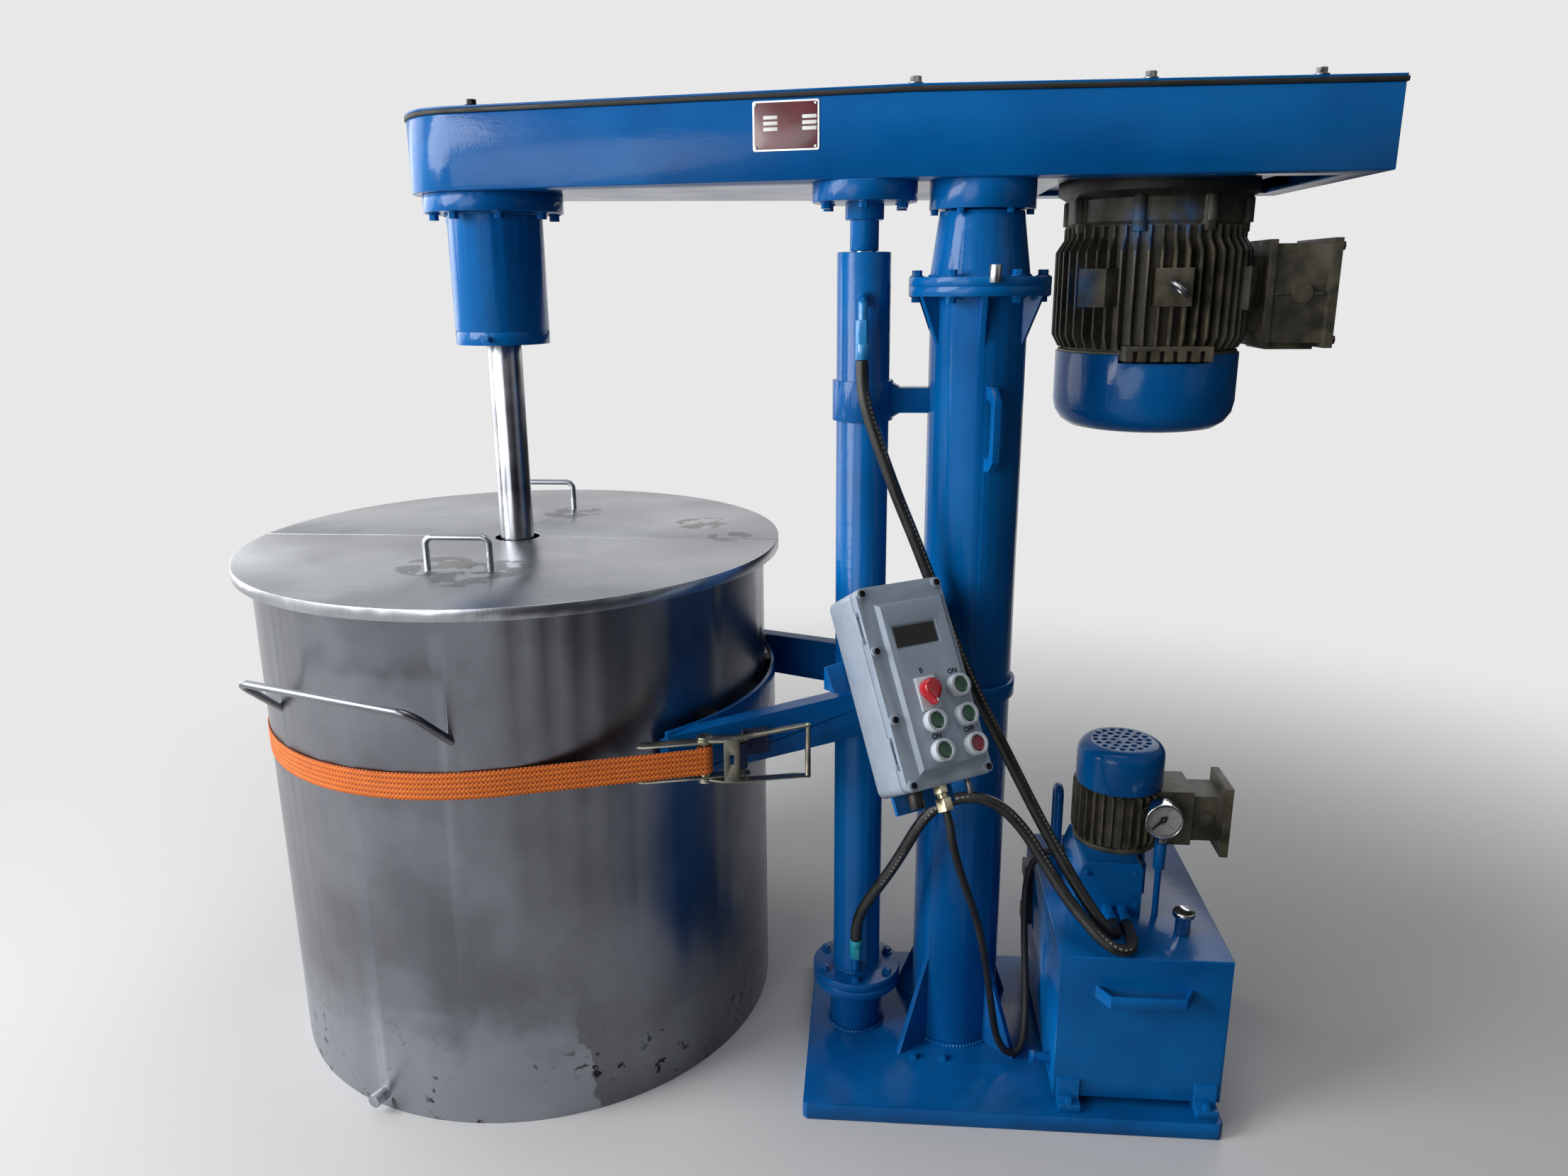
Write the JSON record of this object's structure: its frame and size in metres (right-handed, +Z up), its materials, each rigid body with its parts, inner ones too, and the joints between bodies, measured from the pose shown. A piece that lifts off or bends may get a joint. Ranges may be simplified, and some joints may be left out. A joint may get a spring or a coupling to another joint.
{
  "type": "high speed disperser",
  "caption": "Floor-standing disperser: a hydraulic lift column carries a belt beam with motor and toothed-disc spindle over a strapped mixing tank, with oil power pack and control box.",
  "frame": {"origin": "axis of the lift column at the floor, on the underside of the base plate", "axes": "+X from the column towards the motor end of the beam, +Y away from the operator, +Z up"},
  "size_m": [2.095, 1.1762, 1.829],
  "materials": {
    "blue_enamel": "gloss",
    "motor_grey": "satin",
    "light_enamel": "gloss",
    "teal_enamel": "gloss",
    "stainless": "satin",
    "machined_steel": "satin",
    "zinc_steel": "satin",
    "iron": "matte",
    "hard_chrome": "polished",
    "bronze": "satin",
    "black_rubber": "matte",
    "strap_webbing": "matte",
    "black_plastic": "matte",
    "red_plastic": "gloss",
    "green_plastic": "gloss",
    "clear_glass": "clear"
  },
  "bodies": {
    "stand": {"base_plate": "blue_enamel", "outer_column": "blue_enamel", "column_head": "blue_enamel", "cylinder_pedestal": "blue_enamel", "cylinder_barrel": "blue_enamel", "cylinder_clamp": "blue_enamel", "tank_fork": "blue_enamel", "reservoir": "blue_enamel", "valve_block": "blue_enamel", "pump_motor": "blue_enamel", "pump_cowl": "blue_enamel", "control_bracket": "blue_enamel", "control_box": "light_enamel", "control_cover": "light_enamel", "hose_fittings": "teal_enamel", "tank_shell": "stainless", "gauge_case": "stainless", "frame_bolts": "machined_steel", "pack_fittings": "machined_steel", "ratchet_frame": "zinc_steel", "guide_bush": "bronze", "fork_pads": "black_rubber", "top_hose": "black_rubber", "low_hose": "black_rubber", "control_cable": "black_rubber", "tank_strap": "strap_webbing", "gauge_glass": "clear_glass"},
    "head": {"ram_tube": "hard_chrome", "piston_rod": "hard_chrome", "rod_end": "blue_enamel", "beam_housing": "blue_enamel", "beam_gasket": "black_rubber", "beam_cover": "blue_enamel", "spindle_housing": "blue_enamel", "spindle_bearings": "machined_steel", "housing_cap": "blue_enamel", "drive_belts": "black_rubber", "motor_frame": "motor_grey", "motor_plate": "blue_enamel", "motor_cowl": "blue_enamel", "motor_terminal_box": "motor_grey", "head_bolts": "machined_steel"},
    "spindle": {"spindle_shaft": "stainless", "spindle_pulley": "iron", "impeller": "stainless"},
    "rotor": {"motor_shaft": "machined_steel", "motor_pulley": "iron", "motor_fan": "black_plastic"},
    "front_lid": {"lid_front": "stainless"},
    "rear_lid": {"lid_rear": "stainless"},
    "strap_handle": {"ratchet_handle": "zinc_steel"},
    "selector": {"selector_knob": "red_plastic"},
    "top_right_button": {"button_top_right": "green_plastic"},
    "mid_right_button": {"button_mid_right": "green_plastic"},
    "stop_button": {"button_stop": "red_plastic"},
    "mid_left_button": {"button_mid_left": "green_plastic"},
    "low_left_button": {"button_low_left": "green_plastic"},
    "needle": {"gauge_needle": "black_plastic"},
    "breather": {"breather_cap": "hard_chrome"},
    "pump_rotor": {"pump_fan": "black_plastic"}
  },
  "joints": [
    {"name": "head_lift", "type": "slide", "parent": "stand", "child": "head", "axis": [0, 0, 1], "range_m": [0, 0.85]},
    {"name": "spindle_spin", "type": "hinge", "parent": "head", "child": "spindle", "pos_m": [-0.912, 0.182, 1.55], "axis": [0, 0, 1], "continuous": true},
    {"name": "rotor_spin", "type": "hinge", "parent": "head", "child": "rotor", "pos_m": [0.331, 0.182, 1.55], "axis": [0, 0, 1], "continuous": true},
    {"name": "front_lid_lift", "type": "slide", "parent": "stand", "child": "front_lid", "axis": [0, 0, 1], "range_m": [0, 0.2]},
    {"name": "rear_lid_lift", "type": "slide", "parent": "stand", "child": "rear_lid", "axis": [0, 0, 1], "range_m": [0, 0.2]},
    {"name": "strap_handle_turn", "type": "hinge", "parent": "stand", "child": "strap_handle", "pos_m": [-0.46707, -0.22667, 0.707], "axis": [0, 0, -1], "range_deg": [0, 120]},
    {"name": "selector_turn", "type": "hinge", "parent": "stand", "child": "selector", "pos_m": [-0.08367, -0.27548, 0.86365], "axis": [0.4816, -0.7249, 0.4924], "range_deg": [-45, 45]},
    {"name": "top_right_press", "type": "slide", "parent": "stand", "child": "top_right_button", "axis": [-0.4816, 0.7249, -0.4924], "range_m": [0, 0.004], "stiffness_N_per_m": 700, "springref_m": -0.001},
    {"name": "mid_right_press", "type": "slide", "parent": "stand", "child": "mid_right_button", "axis": [-0.4816, 0.7249, -0.4924], "range_m": [0, 0.004], "stiffness_N_per_m": 700, "springref_m": -0.001},
    {"name": "stop_press", "type": "slide", "parent": "stand", "child": "stop_button", "axis": [-0.4816, 0.7249, -0.4924], "range_m": [0, 0.004], "stiffness_N_per_m": 700, "springref_m": -0.001},
    {"name": "mid_left_press", "type": "slide", "parent": "stand", "child": "mid_left_button", "axis": [-0.4816, 0.7249, -0.4924], "range_m": [0, 0.004], "stiffness_N_per_m": 700, "springref_m": -0.001},
    {"name": "low_left_press", "type": "slide", "parent": "stand", "child": "low_left_button", "axis": [-0.4816, 0.7249, -0.4924], "range_m": [0, 0.004], "stiffness_N_per_m": 700, "springref_m": -0.001},
    {"name": "needle_turn", "type": "hinge", "parent": "stand", "child": "needle", "pos_m": [0.367, -0.09, 0.547], "axis": [0, 1, 0], "range_deg": [0, 270], "stiffness_Nm_per_rad": 0.001},
    {"name": "breather_turn", "type": "hinge", "parent": "stand", "child": "breather", "pos_m": [0.404, -0.142, 0.37], "axis": [0, 0, 1], "range_deg": [0, 90]},
    {"name": "pump_spin", "type": "hinge", "parent": "stand", "child": "pump_rotor", "pos_m": [0.306, 0.02, 0.6], "axis": [0, 0, 1], "continuous": true}
  ],
  "couplings": [
    {"joint": "rotor_spin", "follows": "spindle_spin", "ratio": 0.74576}
  ]
}
